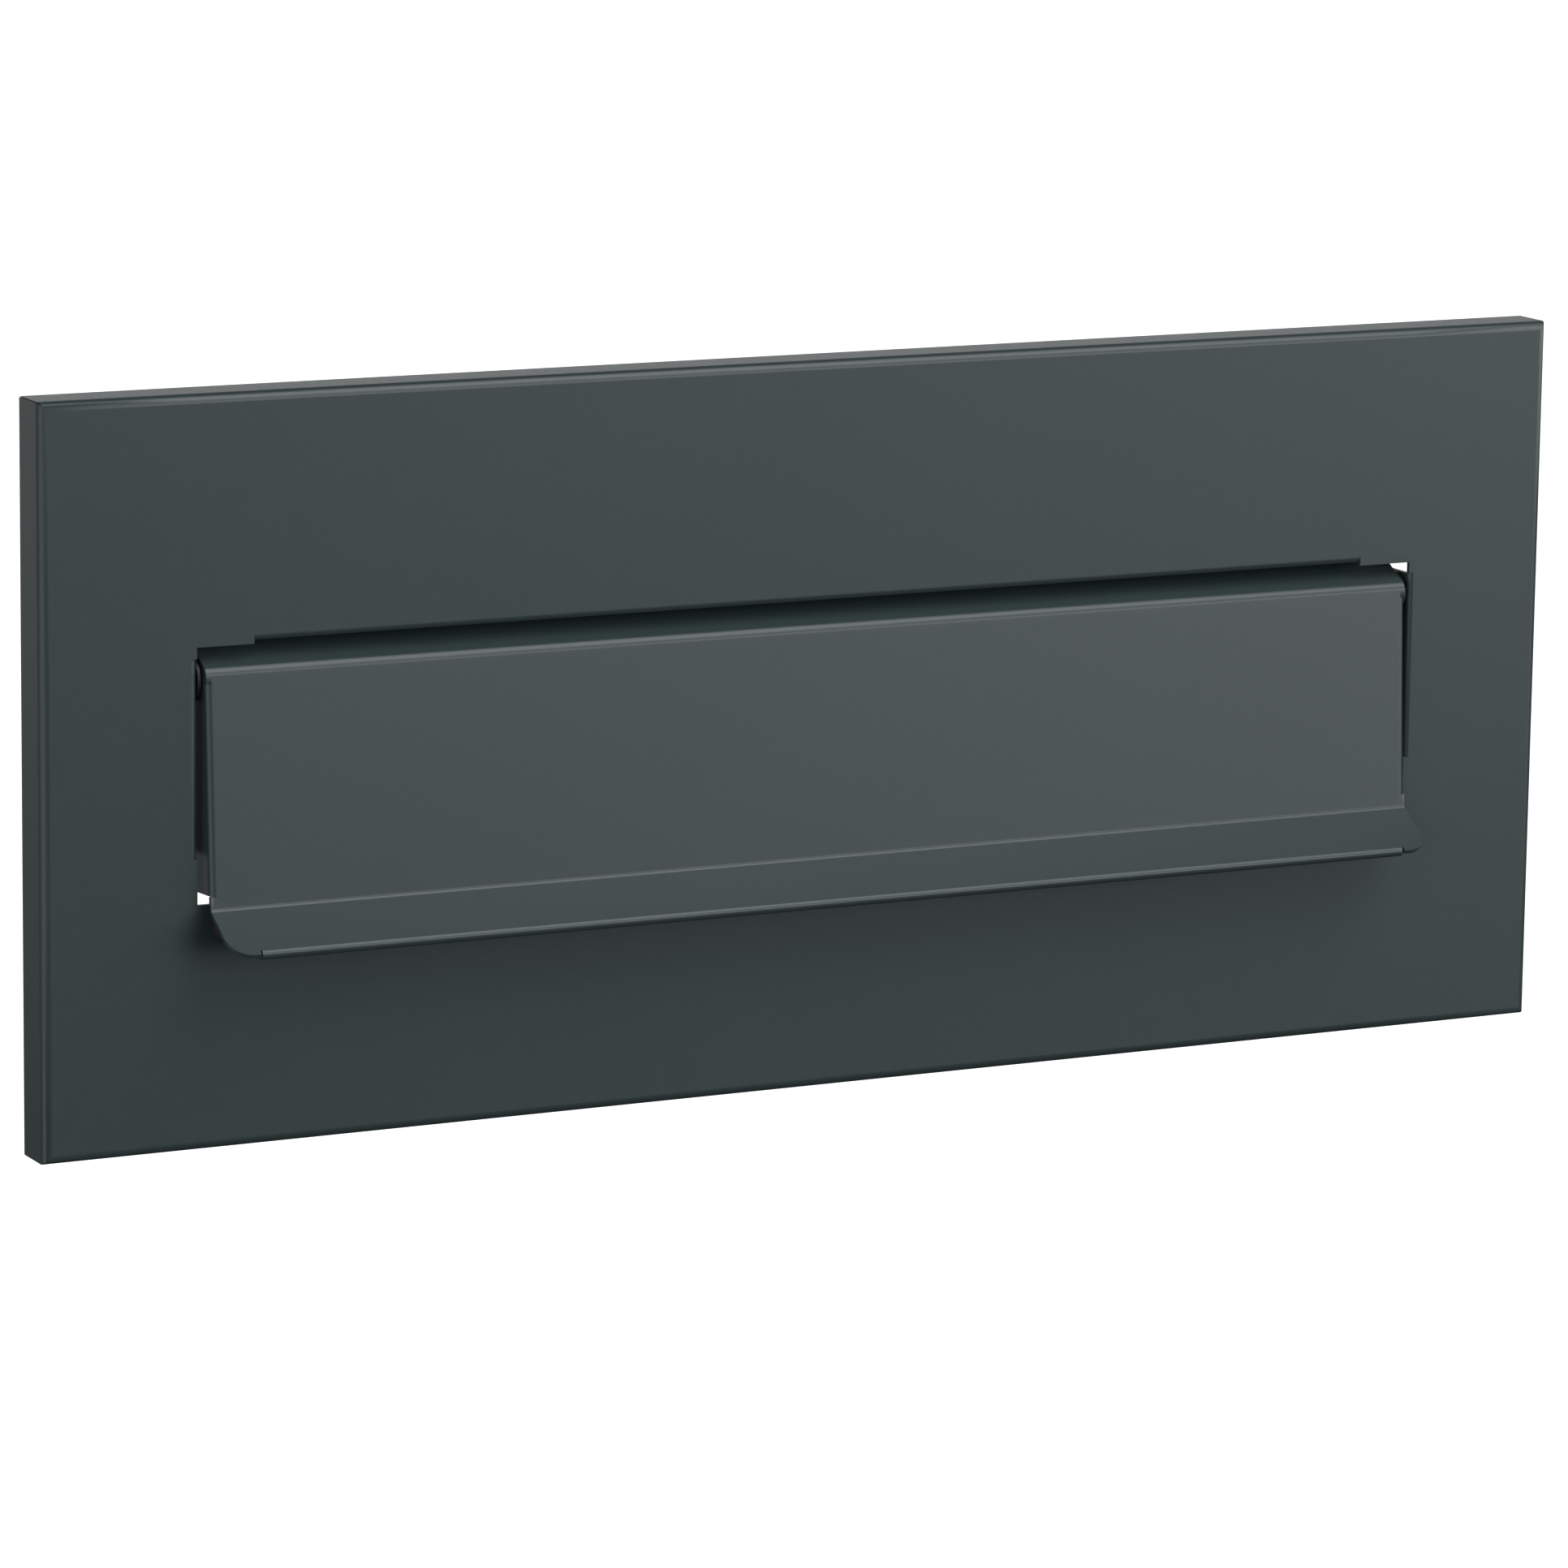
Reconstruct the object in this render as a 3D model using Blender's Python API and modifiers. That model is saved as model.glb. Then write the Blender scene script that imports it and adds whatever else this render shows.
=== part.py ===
"""Letter plate: a folded sheet panel with a top-hung flap that lifts outwards.

World frame in metres. X runs along the plate, Z is up, and the flap faces -Y.
Y = 0 is the plane of the panel's back rim, which lies on the wall or door,
and the origin is the middle of that rim.
"""

import math

import bmesh
import bpy
from mathutils import Matrix, Vector

MM = 0.001
GAP = 0.3 * MM  # between pieces that touch

# The panel: a tray of sheet with a bent-in opening
PANEL_WIDTH = 340 * MM
PANEL_HEIGHT = 150 * MM
PANEL_DEPTH = 10.5 * MM
SHEET = 1.0 * MM
TRAY_BEND = 1.9 * MM  # outer radius of the four returns
FLANGE_BEND = 1.2 * MM  # outer radius round the opening
SEAM = 0.25 * MM  # open joint between two returns

# The opening, as half widths and heights from the panel's middle
OPENING_TOP = 26.0 * MM
EAR_TOP = 25.4 * MM  # unbent edge beside the top flange
OPENING_BOTTOM = -25.7 * MM
TAB_FACE = 137.55 * MM
STRIP_FACE = 137.4 * MM  # unbent strip under each tab
TAB_TOP = 23.0 * MM
TAB_BOTTOM = -16.4 * MM
STRIP_BOTTOM = -23.1 * MM
FLANGE_END = 125.4 * MM
FLANGE_DEPTH = 10.0 * MM
SLIT = 0.2 * MM  # relief cut at each end of a bend
SLIT_REACH = 0.1 * MM  # how far a relief cut passes its bend

# The hinge line, behind the opening's upper edge
PIVOT = Vector((0, -PANEL_DEPTH + 5.0 * MM, 18.5 * MM))
ROD_RADIUS = 2.0 * MM
ROD_HALF = 144.15 * MM

# The flap, in its own frame: the hinge line is the origin and the face is upright
REST_TILT = math.radians(2.86)  # its lower edge hangs this far forward
FLAP_HALF = 136.05 * MM
FACE_Y = -5.95 * MM
TOP_CREASE = 2.04 * MM
BOTTOM_CREASE = -45.25 * MM
CAP_SLOPE = math.radians(32.9)  # the cap runs back and up from the face
CAP_LENGTH = 8.6 * MM
LIP_SLOPE = math.radians(35.1)  # the lip runs forward and down
LIP_LENGTH = 12.9 * MM
LIP_CORNER = 5.0 * MM
HEM_HALF = 129.5 * MM
HEM_HEIGHT = 2.2 * MM
HEM_LENGTH = 5.0 * MM
HEM_NOTCH = 0.35 * MM  # relief cut at each end of the hem's fold
CHEEK_TOP = -0.5 * MM  # the cheeks' bends end here and at CHEEK_BOTTOM
CHEEK_BOTTOM = -42.4 * MM
CHEEK_DEPTH = 10.0 * MM
EAR_START = 1.6 * MM
EAR_HEIGHT = 4.4 * MM
CHEEK_BEND = 1.2 * MM
CAP_BEND = 2.1 * MM
LIP_BEND = 1.0 * MM
HEM_BEND = 1.09 * MM
ROD_HOLE = 2.3 * MM

# Hinge hardware, as distances from the middle
BUSH_FLANGE_X = (136.35 * MM, 137.25 * MM)
BUSH_END_X = 139.55 * MM
SPACER_X = (139.85 * MM, 140.95 * MM)
BUSH_RADIUS = 2.95 * MM
BUSH_HOLE = 3.2 * MM
COLLAR_RADIUS = 4.5 * MM
BORE_RADIUS = ROD_RADIUS + GAP
CLIP_X = (141.25 * MM, 142.85 * MM)
CLIP_RADIUS = 3.6 * MM  # clears the back of the front sheet
CLIP_RIM = 0.5 * MM
CLIP_DISH = 0.2 * MM

# Torsion springs on the rod
WIRE = 0.4 * MM
COIL_RADIUS = 2.9 * MM
COIL_TURNS = 5
COIL_PITCH = 1.0 * MM
COIL_INNER_X = 118.5 * MM
CAP_LEG = 3.0 * MM
CAP_LEG_RISE = math.radians(6)
ANCHOR_HOLE = 0.8 * MM
ANCHOR_TIP = 3.0 * MM
ANCHOR_RISE = 1.4 * MM  # from the top of the panel's flange to the bent tip
ANCHOR_CORNER = 0.4 * MM

# Buffers, studs, washers and nuts
BUFFER_X = 131 * MM
BUFFER_Z = -30.2 * MM
BUFFER_RADIUS = 3.5 * MM
BUFFER_HEIGHT = 1.6 * MM
STUD_X = 156 * MM
STUD_Z = 61 * MM
STUD_RADIUS = 2.45 * MM
STUD_FOOT = 3.4 * MM
STUD_END = 14 * MM
WALL = 2 * MM  # room for the sheet that the rim is fastened to
WASHER_RADIUS = 5.0 * MM
WASHER_THICKNESS = 1.0 * MM
NUT_ACROSS = 8.0 * MM
NUT_HEIGHT = 4.0 * MM
THREAD_BORE = 2.75 * MM

ROUND = 24  # sides of a turned piece
BEND_SEGMENTS = 4
SIDES = (("left", -1), ("right", 1))


def clear_scene():
    for obj in list(bpy.data.objects):
        bpy.data.objects.remove(obj, do_unlink=True)


def new_collection(name):
    collection = bpy.data.collections.new(name)
    bpy.context.scene.collection.children.link(collection)
    return collection


def material(name, colour, roughness, metallic=0.0):
    made = bpy.data.materials.new(name)
    made.use_nodes = True
    shader = made.node_tree.nodes["Principled BSDF"]
    shader.inputs["Base Color"].default_value = (*colour, 1)
    shader.inputs["Roughness"].default_value = roughness
    shader.inputs["Metallic"].default_value = metallic
    return made


def add_object(name, mesh, collection, look=None):
    obj = bpy.data.objects.new(name, mesh)
    collection.objects.link(obj)
    if look:
        mesh.materials.append(look)
    return obj


def mesh_from(bm, name):
    mesh = bpy.data.meshes.new(name)
    bm.to_mesh(mesh)
    bm.free()
    return mesh


def round_off(obj):
    obj.data.shade_smooth()
    obj.data.set_sharp_from_angle(angle=math.radians(35))


def cell_grid(columns, rows, keep, place):
    """A bmesh of the grid's kept cells, each corner put where place(column, row) says."""
    bm = bmesh.new()
    corners = {}

    def corner(c, r):
        if (c, r) not in corners:
            corners[c, r] = bm.verts.new(place(columns[c], rows[r]))
        return corners[c, r]

    for c in range(len(columns) - 1):
        for r in range(len(rows) - 1):
            middle = ((columns[c] + columns[c + 1]) / 2, (rows[r] + rows[r + 1]) / 2)
            if keep(*middle):
                bm.faces.new(
                    (corner(c, r), corner(c + 1, r), corner(c + 1, r + 1), corner(c, r + 1))
                )
    return bm


def bow_edge(bm, points):
    """Replaces the edge between the first and last points with a chain through them all."""
    ends = (Vector(points[0]), Vector(points[-1]))
    start, end = (min(bm.verts, key=lambda vert: (vert.co - co).length) for co in ends)
    for point in points[1:-1]:
        edge = bm.edges.get((start, end))
        start = bmesh.utils.edge_split(edge, start, 0.5)[1]
        start.co = point


def mirrored(values):
    """The values and their negatives, in rising order."""
    return sorted(set(values) | {-v for v in values})


def pull_back(bm, edges, depth):
    """Folds a strip of the given depth backwards from boundary edges."""
    made = bmesh.ops.extrude_edge_only(bm, edges=edges)["geom"]
    verts = [v for v in made if isinstance(v, bmesh.types.BMVert)]
    bmesh.ops.translate(bm, verts=verts, vec=(0, depth, 0))


def weigh_folds(bm, width, offset_of):
    """Marks each folded edge with its own share of the Bevel modifier's width."""
    layer = bm.edges.layers.float.new("bevel_weight_edge")
    for edge in bm.edges:
        if len(edge.link_faces) == 2 and edge.calc_face_angle() > math.radians(20):
            edge[layer] = offset_of(edge) / width


def bend_and_thicken(obj, width):
    bend = obj.modifiers.new("bends", "BEVEL")
    bend.limit_method = "WEIGHT"
    bend.width = width
    bend.segments = BEND_SEGMENTS
    bend.use_clamp_overlap = False
    skin = obj.modifiers.new("sheet", "SOLIDIFY")
    skin.thickness = SHEET
    skin.offset = -1
    skin.solidify_mode = "NON_MANIFOLD"  # keeps the tight inside of the hem from crossing
    skin.nonmanifold_thickness_mode = "CONSTRAINTS"


def cut(obj, cutter, name):
    cutter.hide_render = True
    cutter.display_type = "WIRE"
    hole = obj.modifiers.new(name, "BOOLEAN")
    hole.operation = "DIFFERENCE"
    hole.solver = "EXACT"
    hole.object = cutter


def bar_cutter(name, radius, half_length, collection):
    """A round bar along X, centred on its own origin."""
    bm = bmesh.new()
    turn = Matrix.Rotation(math.pi / 2, 4, "Y")
    depth = 2 * half_length
    bmesh.ops.create_cone(
        bm, cap_ends=True, segments=ROUND, radius1=radius, radius2=radius, depth=depth, matrix=turn
    )
    return add_object(name, mesh_from(bm, name), collection)


def turned(name, profile, collection, look):
    """A solid of revolution about its own Y axis, from (radius, y) points up its outer side."""
    bm = bmesh.new()
    verts = [bm.verts.new((radius, y, 0)) for radius, y in reversed(profile)]
    for a, b in zip(verts, verts[1:] + verts[:1]):
        bm.edges.new((a, b))
    obj = add_object(name, mesh_from(bm, name), collection, look)
    spin = obj.modifiers.new("turn", "SCREW")
    spin.axis = "Y"
    spin.steps = ROUND
    spin.render_steps = ROUND
    spin.use_merge_vertices = True
    spin.merge_threshold = 1e-6
    spin.use_smooth_shade = False
    return obj


def make_panel(parts, cutters, look):
    half_x, half_z = PANEL_WIDTH / 2, PANEL_HEIGHT / 2
    reach = FLANGE_BEND + SLIT_REACH
    columns = mirrored(
        [FLANGE_END, FLANGE_END + SLIT, STRIP_FACE, TAB_FACE, TAB_FACE + reach, half_x]
    )
    rows = sorted(
        [
            -half_z,
            OPENING_BOTTOM - reach,
            OPENING_BOTTOM,
            STRIP_BOTTOM,
            TAB_BOTTOM - SLIT,
            TAB_BOTTOM,
            TAB_TOP,
            TAB_TOP + SLIT,
            EAR_TOP,
            OPENING_TOP,
            OPENING_TOP + reach,
            half_z,
        ]
    )

    def is_sheet(x, z):
        x = abs(x)
        if x < FLANGE_END:
            return not OPENING_BOTTOM < z < OPENING_TOP
        if x < FLANGE_END + SLIT:
            return not OPENING_BOTTOM - reach < z < OPENING_TOP + reach
        in_slit = TAB_BOTTOM - SLIT < z < TAB_BOTTOM or TAB_TOP < z < TAB_TOP + SLIT
        if TAB_BOTTOM < z < TAB_TOP:
            return x > TAB_FACE
        if in_slit:
            return x > TAB_FACE + reach
        if STRIP_BOTTOM < z < TAB_BOTTOM:
            return x > STRIP_FACE
        if OPENING_BOTTOM < z < EAR_TOP:
            return x > TAB_FACE
        return True

    bm = cell_grid(columns, rows, is_sheet, lambda x, z: (x, -PANEL_DEPTH, z))

    def boundary(test):
        return [e for e in bm.edges if e.is_boundary and all(test(v.co) for v in e.verts)]

    near = 1e-6
    tabs = boundary(
        lambda p: abs(abs(p.x) - TAB_FACE) < near and TAB_BOTTOM - near < p.z < TAB_TOP + near
    )
    flanges = boundary(
        lambda p: abs(p.x) < FLANGE_END + near
        and min(abs(p.z - OPENING_TOP), abs(p.z - OPENING_BOTTOM)) < near
    )
    rim = boundary(lambda p: abs(abs(p.x) - half_x) < near or abs(abs(p.z) - half_z) < near)
    pull_back(bm, tabs + flanges, FLANGE_DEPTH)
    pull_back(bm, rim, PANEL_DEPTH)
    bmesh.ops.recalc_face_normals(bm, faces=bm.faces)

    def offset_of(edge):
        middle = (edge.verts[0].co + edge.verts[1].co) / 2
        if middle.y > -PANEL_DEPTH + near:
            return 0.0  # the corner seams stay sharp
        outer = abs(middle.x) > half_x - near or abs(middle.z) > half_z - near
        return TRAY_BEND if outer else FLANGE_BEND

    weigh_folds(bm, TRAY_BEND, offset_of)
    panel = add_object("front_panel", mesh_from(bm, "front_panel"), parts, look)
    bend_and_thicken(panel, TRAY_BEND)

    hole = bar_cutter("bush_holes", BUSH_HOLE, TAB_FACE + 5 * MM, cutters)
    hole.location = PIVOT
    cut(panel, hole, "bush holes")
    for index, (side_x, side_z) in enumerate(((-1, -1), (-1, 1), (1, -1), (1, 1))):
        seam = add_object("seam_%d" % index, seam_mesh(), cutters)
        seam.location = (side_x * half_x, -PANEL_DEPTH / 2 + TRAY_BEND, side_z * half_z)
        seam.rotation_euler = (0, math.radians(45) * side_x * side_z, 0)
        cut(panel, seam, "seam %d" % index)
    for side, sign in SIDES:
        anchor = add_object("anchor_%s" % side, anchor_mesh(), cutters)
        anchor.location = (sign * COIL_INNER_X, PIVOT.y + COIL_RADIUS, OPENING_TOP)
        cut(panel, anchor, "anchor hole " + side)
    round_off(panel)
    return panel


def seam_mesh():
    """A thin blade across a tray corner, from behind the front bend to past the rim."""
    bm = bmesh.new()
    bmesh.ops.create_cube(bm, size=1)
    bmesh.ops.scale(bm, vec=(SEAM, PANEL_DEPTH, 6 * MM), verts=bm.verts)
    return mesh_from(bm, "seam")


def anchor_mesh():
    bm = bmesh.new()
    bmesh.ops.create_cone(
        bm, cap_ends=True, segments=12, radius1=ANCHOR_HOLE, radius2=ANCHOR_HOLE, depth=6 * MM
    )
    return mesh_from(bm, "anchor")


def flap_section(r):
    """Where height r on the unrolled face, cap or lip lies once it is folded: (y, z)."""
    if r > TOP_CREASE:
        along = r - TOP_CREASE
        return FACE_Y + along * math.cos(CAP_SLOPE), TOP_CREASE + along * math.sin(CAP_SLOPE)
    if r >= BOTTOM_CREASE:
        return FACE_Y, r
    along = BOTTOM_CREASE - r
    nose = min(along, LIP_LENGTH)
    y = FACE_Y - nose * math.cos(LIP_SLOPE)
    z = BOTTOM_CREASE - nose * math.sin(LIP_SLOPE)
    under = min(along - nose, HEM_HEIGHT)
    y += under * math.sin(LIP_SLOPE)
    z -= under * math.cos(LIP_SLOPE)
    back = along - nose - under
    return y + back * math.cos(LIP_SLOPE), z + back * math.sin(LIP_SLOPE)


def make_flap(parts, cutters, look, hinge):
    nose = BOTTOM_CREASE - LIP_LENGTH
    corner_x = FLAP_HALF - LIP_CORNER
    slit_x = FLAP_HALF - CHEEK_BEND - SLIT_REACH
    notch_end = nose + HEM_BEND + SLIT_REACH
    arc = [corner_x + LIP_CORNER * math.sin(math.radians(a)) for a in range(0, 90, 15)]
    beside_bend = [x for x in arc if x > slit_x]  # too near the cheek to run up the face
    ear = [FLAP_HALF + EAR_START + k * (CHEEK_DEPTH - EAR_START) / 3 for k in range(4)]
    up_the_face = arc[: -len(beside_bend)]
    columns = mirrored([HEM_HALF, HEM_HALF + HEM_NOTCH, slit_x, FLAP_HALF] + up_the_face + ear)
    rows = [
        nose - HEM_HEIGHT - HEM_LENGTH,
        nose - HEM_HEIGHT,
        nose,
        notch_end,
        BOTTOM_CREASE,
        CHEEK_BOTTOM - SLIT,
        CHEEK_BOTTOM,
        CHEEK_TOP,
        CHEEK_TOP + SLIT,
        TOP_CREASE,
        TOP_CREASE + CAP_LENGTH,
    ]

    def is_sheet(x, r):
        x = abs(x)
        if r < nose:
            return x < HEM_HALF
        if r < notch_end and HEM_HALF < x < HEM_HALF + HEM_NOTCH:
            return False
        in_slit = CHEEK_BOTTOM - SLIT < r < CHEEK_BOTTOM
        in_slit = in_slit or CHEEK_TOP < r < CHEEK_TOP + SLIT
        if x < FLAP_HALF:
            return x < slit_x or not in_slit
        if CHEEK_BOTTOM < r < CHEEK_TOP:
            return True
        return x > FLAP_HALF + EAR_START and CHEEK_TOP < r < TOP_CREASE

    def lip_edge(x):
        across = min(max(abs(x) - corner_x, 0), LIP_CORNER)
        return nose + LIP_CORNER - math.sqrt(LIP_CORNER**2 - across**2)

    def place(x, r):
        beyond = abs(x) - FLAP_HALF
        if beyond > 1e-9:  # a cheek, folded straight back
            height = r
            if r > CHEEK_TOP + SLIT:  # the ear's upper edge runs just under the cap
                under_cap = TOP_CREASE + beyond * math.tan(CAP_SLOPE)
                under_cap -= (SHEET + GAP) / math.cos(CAP_SLOPE)
                height = min(EAR_HEIGHT, under_cap)
            return math.copysign(FLAP_HALF, x), FACE_Y + beyond, height
        if r == nose:
            r = lip_edge(x)
        elif r == notch_end:
            r = max(r, lip_edge(x) + SHEET / 2)
        return (x, *flap_section(r))

    bm = cell_grid(columns, rows, is_sheet, place)
    for sign in (-1, 1):
        points = [place(sign * x, nose) for x in [slit_x] + beside_bend + [FLAP_HALF]]
        bow_edge(bm, points)
    bmesh.ops.recalc_face_normals(bm, faces=bm.faces)
    if sum(f.normal.y * f.calc_area() for f in bm.faces) > 0:
        bmesh.ops.reverse_faces(bm, faces=bm.faces)

    cap_offset = CAP_BEND * math.tan((math.pi / 2 - CAP_SLOPE) / 2)
    lip_offset = LIP_BEND * math.tan((math.pi / 2 - LIP_SLOPE) / 2)

    def offset_of(edge):
        a, b = edge.verts[0].co, edge.verts[1].co
        if abs(a.x - b.x) < 1e-9:
            return CHEEK_BEND
        if a.z > 0:
            return cap_offset
        return lip_offset if abs(a.z - BOTTOM_CREASE) < 1e-6 else HEM_BEND

    weigh_folds(bm, CHEEK_BEND, offset_of)
    flap = add_object("flap", mesh_from(bm, "flap"), parts, look)
    flap.parent = hinge
    bend_and_thicken(flap, CHEEK_BEND)
    hole = bar_cutter("rod_holes", ROD_HOLE, FLAP_HALF + 5 * MM, cutters)
    hole.parent = hinge
    cut(flap, hole, "rod holes")
    round_off(flap)
    return flap


def make_rod(parts, look, hinge):
    chamfer = 0.5 * MM
    inner = ROD_RADIUS - chamfer
    rod = turned(
        "hinge_rod",
        [
            (0, -ROD_HALF),
            (inner, -ROD_HALF),
            (ROD_RADIUS, -ROD_HALF + chamfer),
            (ROD_RADIUS, ROD_HALF - chamfer),
            (inner, ROD_HALF),
            (0, ROD_HALF),
        ],
        parts,
        look,
    )
    rod.rotation_euler = (0, 0, -math.pi / 2)
    rod.parent = hinge
    return rod


def ring(name, inner, outer, start, end, parts, look):
    return turned(name, [(inner, start), (outer, start), (outer, end), (inner, end)], parts, look)


def aim(obj, sign, location=(0, 0, 0)):
    """Turns a piece's own Y axis to +X or -X and puts it in place."""
    obj.rotation_euler = (0, 0, -sign * math.pi / 2)
    obj.location = location


def make_hinge_hardware(parts, looks, hinge):
    for side, sign in SIDES:
        spacer = ring(
            "spacer_washer_" + side, BORE_RADIUS, CLIP_RADIUS, *SPACER_X, parts, looks["nylon"]
        )
        aim(spacer, sign)
        spacer.parent = hinge
        bush = turned(
            "bush_" + side,
            [
                (BORE_RADIUS, BUSH_FLANGE_X[0]),
                (COLLAR_RADIUS, BUSH_FLANGE_X[0]),
                (COLLAR_RADIUS, BUSH_FLANGE_X[1]),
                (BUSH_RADIUS, BUSH_FLANGE_X[1]),
                (BUSH_RADIUS, BUSH_END_X),
                (BORE_RADIUS, BUSH_END_X),
            ],
            parts,
            looks["nylon"],
        )
        aim(bush, sign, PIVOT)
        rim = CLIP_X[0] + CLIP_RIM
        clip = turned(
            "retaining_clip_" + side,
            [
                (BORE_RADIUS, CLIP_X[0] + CLIP_DISH),
                (CLIP_RADIUS, CLIP_X[0]),
                (CLIP_RADIUS, rim),
                (BORE_RADIUS + 2 * CLIP_RIM, rim + CLIP_DISH),
                (BORE_RADIUS + CLIP_RIM, CLIP_X[1]),
                (BORE_RADIUS, CLIP_X[1]),
            ],
            parts,
            looks["zinc"],
        )
        aim(clip, sign)
        clip.parent = hinge


def spring_route(sign):
    """The wire's centre line: a leg under the flap's cap, the coil, and a leg up to the panel's flange."""
    wound = math.radians(90) + CAP_SLOPE - REST_TILT
    points = []
    outer_x = COIL_INNER_X + COIL_TURNS * COIL_PITCH
    start = Vector((outer_x, COIL_RADIUS * math.cos(wound), COIL_RADIUS * math.sin(wound)))
    lean = wound - math.radians(90) + CAP_LEG_RISE
    points.append(start + CAP_LEG * Vector((0, math.cos(lean), math.sin(lean))))
    steps = COIL_TURNS * 12
    last = math.tau * COIL_TURNS
    for k in range(steps + 1):
        angle = wound + (last - wound) * k / steps
        x = outer_x - (outer_x - COIL_INNER_X) * k / steps
        points.append(Vector((x, COIL_RADIUS * math.cos(angle), COIL_RADIUS * math.sin(angle))))
    top = OPENING_TOP - PIVOT.z + SHEET + GAP + ANCHOR_RISE
    points.append(Vector((COIL_INNER_X, COIL_RADIUS, top - ANCHOR_CORNER)))
    points.append(Vector((COIL_INNER_X - ANCHOR_CORNER, COIL_RADIUS, top)))
    points.append(Vector((COIL_INNER_X - ANCHOR_TIP, COIL_RADIUS, top)))
    return [Vector((sign * p.x, p.y, p.z)) for p in points]


def make_spring(side, sign, parts, look):
    name = "torsion_spring_" + side
    curve = bpy.data.curves.new(name, "CURVE")
    curve.dimensions = "3D"
    curve.bevel_depth = WIRE
    curve.bevel_resolution = 2
    curve.use_fill_caps = True
    route = spring_route(sign)
    line = curve.splines.new("POLY")
    line.points.add(len(route) - 1)
    for point, place in zip(line.points, route):
        point.co = (*place, 1)
    spring = add_object(name, curve, parts, look)
    spring.location = PIVOT
    return spring


def make_buffer(side, sign, parts, look):
    front = -PANEL_DEPTH - GAP / 2
    soft = 0.5 * MM
    pad = turned(
        "rubber_buffer_" + side,
        [
            (0, front - BUFFER_HEIGHT),
            (BUFFER_RADIUS - soft, front - BUFFER_HEIGHT),
            (BUFFER_RADIUS, front - BUFFER_HEIGHT + soft),
            (BUFFER_RADIUS, front),
            (0, front),
        ],
        parts,
        look,
    )
    pad.location = (sign * BUFFER_X, 0, BUFFER_Z)


def nut_mesh():
    bm = bmesh.new()
    turn = Matrix.Rotation(math.pi / 2, 4, "X")
    corner = NUT_ACROSS / math.sqrt(3)
    bmesh.ops.create_cone(
        bm, cap_ends=True, segments=6, radius1=corner, radius2=corner, depth=NUT_HEIGHT, matrix=turn
    )
    return mesh_from(bm, "nut")


def make_fixings(parts, cutters, looks):
    base = -PANEL_DEPTH + SHEET + GAP
    washer_y = WALL + GAP
    nut_y = washer_y + WASHER_THICKNESS + GAP
    foot = 0.8 * MM
    chamfer = 0.6 * MM
    places = [(x, z) for z in (1, -1) for x in (-1, 1)]
    for number, (side_x, side_z) in enumerate(places, 1):
        spot = Vector((side_x * STUD_X, 0, side_z * STUD_Z))
        stud = turned(
            "weld_stud_%d" % number,
            [
                (0, base),
                (STUD_FOOT, base),
                (STUD_FOOT, base + foot),
                (STUD_RADIUS, base + foot),
                (STUD_RADIUS, STUD_END - chamfer),
                (STUD_RADIUS - chamfer, STUD_END),
                (0, STUD_END),
            ],
            parts,
            looks["zinc"],
        )
        stud.location = spot
        washer = ring(
            "washer_%d" % number,
            THREAD_BORE,
            WASHER_RADIUS,
            washer_y,
            washer_y + WASHER_THICKNESS,
            parts,
            looks["zinc"],
        )
        washer.location = spot
        nut = add_object("hex_nut_%d" % number, nut_mesh(), parts, looks["zinc"])
        nut.location = spot + Vector((0, nut_y + NUT_HEIGHT / 2, 0))
        bore = bar_cutter("nut_bore_%d" % number, THREAD_BORE, NUT_HEIGHT, cutters)
        bore.location = nut.location
        bore.rotation_euler = (0, 0, math.pi / 2)
        cut(nut, bore, "bore")


def main():
    clear_scene()
    parts = new_collection("letter_plate")
    cutters = new_collection("cutters")
    looks = {
        "paint": material("anthracite_powder_coat", (0.055, 0.072, 0.074), 0.45),
        "steel": material("stainless_steel", (0.55, 0.55, 0.54), 0.3, 1.0),
        "zinc": material("zinc_plate", (0.62, 0.63, 0.64), 0.35, 1.0),
        "spring": material("spring_steel", (0.32, 0.32, 0.33), 0.35, 1.0),
        "nylon": material("black_nylon", (0.015, 0.015, 0.016), 0.5),
        "rubber": material("black_rubber", (0.02, 0.02, 0.02), 0.8),
    }
    hinge = add_object("flap_hinge", None, parts)
    hinge.location = PIVOT
    hinge.rotation_euler = (-REST_TILT, 0, 0)
    make_panel(parts, cutters, looks["paint"])
    make_flap(parts, cutters, looks["paint"], hinge)
    make_rod(parts, looks["steel"], hinge)
    make_hinge_hardware(parts, looks, hinge)
    for side, sign in SIDES:
        make_spring(side, sign, parts, looks["spring"])
        make_buffer(side, sign, parts, looks["rubber"])
    make_fixings(parts, cutters, looks)


main()
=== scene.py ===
"""Looks for the letter plate: sheet metal, hinge hardware, fixings, finishes and studio."""

import math

import bmesh
import bpy
from mathutils import Matrix, Vector


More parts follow.
